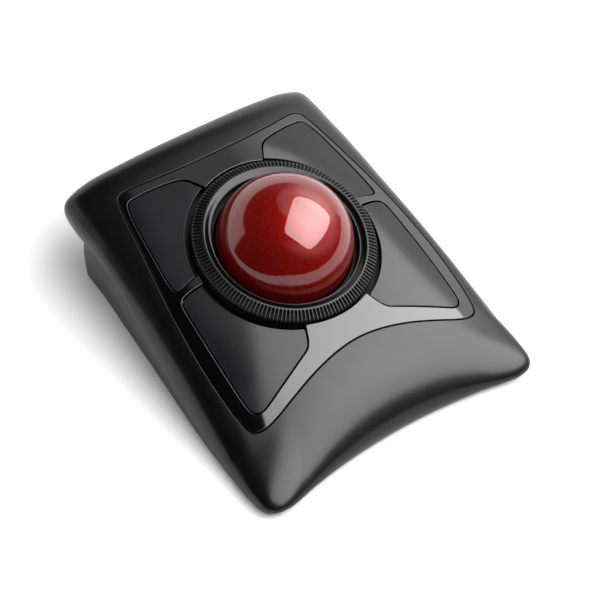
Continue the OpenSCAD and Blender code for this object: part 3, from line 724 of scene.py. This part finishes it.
def make_feet():
    """Six round rubber pads with an eased lower edge."""
    bm = bmesh.new()
    for x, y, r in FEET:
        profile = [
            (OFF_AXIS, 0.0), (r - 0.35, 0.0), (r - 0.1, 0.1), (r, 0.35), (r, FOOT_TOP), (OFF_AXIS, FOOT_TOP),
        ]
        for side in (-1, 1):
            bm_revolve(bm, profile, FOOT_STEPS, Matrix.Translation((side * x, y, 0)))
    dress(new_object("feet", bm), "foot_rubber", "housing", "rubber_feet")


make_cover()
make_bezel()
for row in ROWS:
    for side in SIDES:
        make_button(row, side)
make_ring()
make_skirt()
make_ball()
make_feet()

# ---------------------------------------------------------------- carried-over CAD nodes
# Their edges stay sharp from this angle in degrees
CAD_CREASE = 28
slot_of = {entry["node"]: entry["material_slot"] for entry in frame["record"]["subparts"]}
for node_name, obj in NODES.items():
    obj.data.materials.clear()
    obj.data.materials.append(MATERIALS[slot_of[node_name]])
    for polygon in obj.data.polygons:
        polygon.use_smooth = True
    obj.data.set_sharp_from_angle(angle=math.radians(CAD_CREASE))


# ---------------------------------------------------------------- floor, light and camera
# Edges of the floor in millimetres, and the range of its grey
FLOOR_LEFT, FLOOR_FRONT, FLOOR_FAR = -190, -330, 900
FLOOR_GREYS = 0.42, 0.43
# The studio, as directions from the object: the softbox, the wall behind, the pale side and the ceiling
KEY = Vector((0.406, -0.330, 0.851)).normalized()
WALL_FACES = Vector((0.26, 0.966, 0))
SIDE_GLOW = Vector((0.83, 0.176, 0.53)).normalized()
CEILING_GLOW = Vector((0.565, 0.1, 0.819)).normalized()
UP = Vector((0, 0, 1))
# Brightness against the cosine of the angle to one of those directions
WALL_HEIGHT = ((0, 1.45), (0.30, 1.45), (0.36, 0))
WALL_WIDTH = ((0.22, 0), (0.30, 1))
SIDE_STOPS = ((0.55, 0.0), (0.80, 0.2), (0.857, 0.5), (0.885, 1.0), (0.93, 1.6), (0.98, 2.2), (1.0, 2.6))
CEILING_STOPS = ((0.76, 0.015), (0.785, 0.1), (0.80, 0.6), (0.87, 0.9))
SPILL_STOPS = ((0.5, 0.0), (0.56, 0.15), (0.65, 0.5), (0.7, 0.7))
SPILL_HEIGHT = ((0.6, 1), (0.8, 0))
# The lights face the ball, at this distance in metres
BALL_AT = Vector((0, 0.008, 0.037))
LIGHT_DISTANCE = 1.2
# A softbox is brightest at this place on its face, and fades over this distance from it
HOT_SPOT = (0.5, 0.42, 0)
FADE_OVER, BRIGHT, DIM = 0.62, 1.3, 0.74
# A higher power gives a softbox squarer corners
CORNER_POWER = 7
# The camera: what it looks at and from how far, in metres, its angles in degrees, and its lens in millimetres
AIM = Vector((-0.002758, -0.00881, 0.020))
CAMERA_DISTANCE = 0.79914
AZIMUTH, ELEVATION, ROLL = 42.727, 50.001, 7.866
SENSOR, LENS = 36, 121.42
CLIP_NEAR, CLIP_FAR = 0.05, 20


def make_floor():
    """A pale board that runs on to the right and the back, and ends near the left and the front."""
    left, front, far = FLOOR_LEFT, FLOOR_FRONT, FLOOR_FAR
    bm = bmesh.new()
    corners = [(left, front), (far, front), (far, far), (left, far)]
    bm.faces.new([bm.verts.new((x, y, 0)) for x, y in corners])
    floor = new_object("floor", bm)
    material, tree, shader = nodes_of("pale_floor")
    dark, light = ((grey, grey, grey) for grey in FLOOR_GREYS)
    tree.links.new(two_colours(tree, noise(tree, 2.0), dark, light), shader.inputs["Base Color"])
    shader.inputs["Roughness"].default_value = 0.9
    shader.inputs["Specular IOR Level"].default_value = 0.1
    floor.data.materials.append(material)


def sky_ramp(tree, value, stops):
    """Brightness against a value from 0 to 1, as straight lines between the stops."""
    node = tree.nodes.new("ShaderNodeValToRGB")
    elements = node.color_ramp.elements
    while len(elements) < len(stops):
        elements.new(0.5)
    for element, (at, glow) in zip(elements, stops):
        element.position = at
        element.color = (glow, glow, glow, 1)
    tree.links.new(value, node.inputs["Fac"])
    return node.outputs["Color"]


def towards(tree, direction):
    """The cosine between a ray of the sky and a direction."""
    coords = tree.nodes.new("ShaderNodeTexCoord")
    dot = tree.nodes.new("ShaderNodeVectorMath")
    dot.operation = "DOT_PRODUCT"
    dot.inputs[1].default_value = direction
    tree.links.new(coords.outputs["Generated"], dot.inputs[0])
    return dot.outputs["Value"]


def combined(tree, how, a, b):
    """Two values put together by a Math node."""
    node = tree.nodes.new("ShaderNodeMath")
    node.operation = how
    tree.links.new(a, node.inputs[0])
    tree.links.new(b, node.inputs[1])
    return node.outputs["Value"]


def rounded_square(tree, place, power):
    """1 inside a square with round corners that fills the light's face, and 0 outside it."""
    axes = tree.nodes.new("ShaderNodeSeparateXYZ")
    tree.links.new(place, axes.inputs["Vector"])
    parts = []
    for axis in "XY":
        from_middle = tree.nodes.new("ShaderNodeMath")
        from_middle.operation = "MULTIPLY_ADD"
        from_middle.inputs[1].default_value = 2
        from_middle.inputs[2].default_value = -1
        tree.links.new(axes.outputs[axis], from_middle.inputs[0])
        size = tree.nodes.new("ShaderNodeMath")
        size.operation = "ABSOLUTE"
        tree.links.new(from_middle.outputs["Value"], size.inputs[0])
        raised_to = tree.nodes.new("ShaderNodeMath")
        raised_to.operation = "POWER"
        raised_to.inputs[1].default_value = power
        tree.links.new(size.outputs["Value"], raised_to.inputs[0])
        parts.append(raised_to.outputs["Value"])
    within = tree.nodes.new("ShaderNodeMath")
    within.operation = "LESS_THAN"
    within.inputs[1].default_value = 1.0
    tree.links.new(combined(tree, "ADD", *parts), within.inputs[0])
    return within.outputs["Value"]


def softbox(name, direction, across, width, height, power, rise=0.0):
    """A softbox that faces the ball; its width lies along across, and rise shifts it along its height."""
    light = bpy.data.lights.new(name, "AREA")
    light.shape = "RECTANGLE"
    light.size, light.size_y = width, height
    light.energy = power
    light.use_nodes = True
    tree = light.node_tree
    place = tree.nodes.new("ShaderNodeNewGeometry")
    away = tree.nodes.new("ShaderNodeVectorMath")
    away.operation = "DISTANCE"
    away.inputs[1].default_value = HOT_SPOT
    tree.links.new(place.outputs["Parametric"], away.inputs[0])
    fade = tree.nodes.new("ShaderNodeMapRange")
    fade.inputs["From Max"].default_value = FADE_OVER
    fade.inputs["To Min"].default_value = BRIGHT
    fade.inputs["To Max"].default_value = DIM
    tree.links.new(away.outputs["Value"], fade.inputs["Value"])
    face = rounded_square(tree, place.outputs["Parametric"], CORNER_POWER)
    strength = combined(tree, "MULTIPLY", fade.outputs["Result"], face)
    tree.links.new(strength, tree.nodes["Emission"].inputs["Strength"])
    obj = bpy.data.objects.new(name, light)
    bpy.context.scene.collection.objects.link(obj)
    back = Vector(direction).normalized()
    along = Vector(across)
    along = (along - back * along.dot(back)).normalized()
    other = back.cross(along)
    centre = BALL_AT + back * LIGHT_DISTANCE + other * rise
    obj.matrix_world = Matrix.Translation(centre) @ Matrix((along, other, back)).transposed().to_4x4()
    return obj


def make_world():
    """A dark studio with a low white wall behind, a pale right side and a glow round the softbox.

    The camera itself sees white.
    """
    world = bpy.data.worlds.new("studio")
    bpy.context.scene.world = world
    world.use_nodes = True
    tree = world.node_tree
    background = tree.nodes["Background"]
    below_top = sky_ramp(tree, towards(tree, UP), WALL_HEIGHT)
    behind = sky_ramp(tree, towards(tree, WALL_FACES), WALL_WIDTH)
    wall = combined(tree, "MULTIPLY", below_top, behind)
    side = sky_ramp(tree, towards(tree, SIDE_GLOW), SIDE_STOPS)
    ceiling = sky_ramp(tree, towards(tree, CEILING_GLOW), CEILING_STOPS)
    spill = sky_ramp(tree, towards(tree, KEY), SPILL_STOPS)
    under_key = sky_ramp(tree, towards(tree, UP), SPILL_HEIGHT)
    lit = combined(tree, "MAXIMUM", combined(tree, "MAXIMUM", wall, side), ceiling)
    light = combined(tree, "ADD", lit, combined(tree, "MULTIPLY", spill, under_key))
    path = tree.nodes.new("ShaderNodeLightPath")
    mix = tree.nodes.new("ShaderNodeMix")
    mix.data_type = "RGBA"
    tree.links.new(path.outputs["Is Camera Ray"], mix.inputs["Factor"])
    tree.links.new(light, mix.inputs["A"])
    mix.inputs["B"].default_value = (1, 1, 1, 1)
    tree.links.new(mix.outputs["Result"], background.inputs["Color"])


def make_camera():
    """Looks down from the front left, with a slight roll."""
    data = bpy.data.cameras.new("camera")
    data.sensor_width = SENSOR
    data.lens = LENS
    data.clip_start, data.clip_end = CLIP_NEAR, CLIP_FAR
    camera = bpy.data.objects.new("camera", data)
    bpy.context.scene.collection.objects.link(camera)
    azimuth, elevation, roll = (math.radians(angle) for angle in (AZIMUTH, ELEVATION, ROLL))
    level_part = math.cos(elevation)
    back = Vector((-math.sin(azimuth) * level_part, -math.cos(azimuth) * level_part, math.sin(elevation)))
    camera.rotation_mode = "QUATERNION"
    camera.location = AIM + back * CAMERA_DISTANCE
    look = (-back).to_track_quat("-Z", "Y").to_matrix().to_4x4() @ Matrix.Rotation(roll, 4, "Z")
    camera.rotation_quaternion = look.to_quaternion()
    bpy.context.scene.camera = camera


make_floor()
make_world()
softbox("key", KEY, across=(0.755, 0.646, -0.11), width=1.88, height=1.45, power=78, rise=-0.02)
fill = softbox("fill", (-0.7, 0.3, 0.65), across=(0, 1, 0), width=1.2, height=1.2, power=11)
fill.visible_glossy = False
make_camera()
bpy.context.scene.view_settings.view_transform = "Standard"
